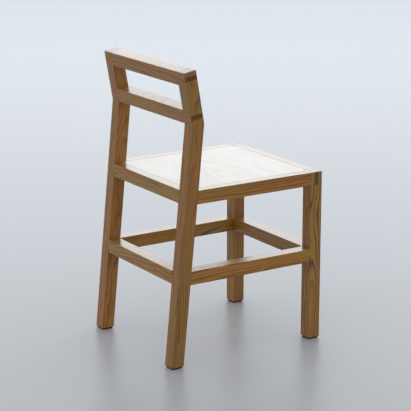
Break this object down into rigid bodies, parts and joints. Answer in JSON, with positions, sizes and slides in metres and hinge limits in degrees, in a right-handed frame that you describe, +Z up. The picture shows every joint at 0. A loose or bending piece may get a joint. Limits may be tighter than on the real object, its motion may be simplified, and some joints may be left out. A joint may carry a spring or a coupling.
{
  "type": "wooden chair",
  "caption": "Plain wooden side chair cut from square bars, with a low open back, flush pale seat panel, raked rear legs, a ring of stretchers and thin dark foot pads; intact.",
  "frame": {"origin": "on the floor, under the middle of the chair's outline", "axes": "+Z up; the chair faces -Y, its back is towards +Y; +X is the left hand of a person sitting in it"},
  "size_m": [0.396, 0.46, 0.7616],
  "materials": {
    "leg_wood": "satin clear finish on honey-brown softwood, straight grain",
    "rail_wood": "satin clear finish on honey-brown softwood, straight grain with dark end grain",
    "panel_wood": "satin, pale whitened veneer with faint grain",
    "pad_rubber": "matte"
  },
  "bodies": {
    "root": {"front_leg_left": "leg_wood", "front_leg_right": "leg_wood", "rear_leg_left": "leg_wood", "rear_leg_right": "leg_wood", "back_post_left": "leg_wood", "back_post_right": "leg_wood", "post_cap_left": "leg_wood", "post_cap_right": "leg_wood", "top_rail": "rail_wood", "lower_back_rail": "rail_wood", "seat_front_rail": "rail_wood", "seat_rear_rail": "rail_wood", "seat_side_rail_left": "rail_wood", "seat_side_rail_right": "rail_wood", "front_stretcher": "rail_wood", "rear_stretcher": "rail_wood", "side_stretcher_left": "rail_wood", "side_stretcher_right": "rail_wood", "seat_panel": "panel_wood", "foot_pad_front_left": "pad_rubber", "foot_pad_front_right": "pad_rubber", "foot_pad_rear_left": "pad_rubber", "foot_pad_rear_right": "pad_rubber"}
  },
  "joints": []
}
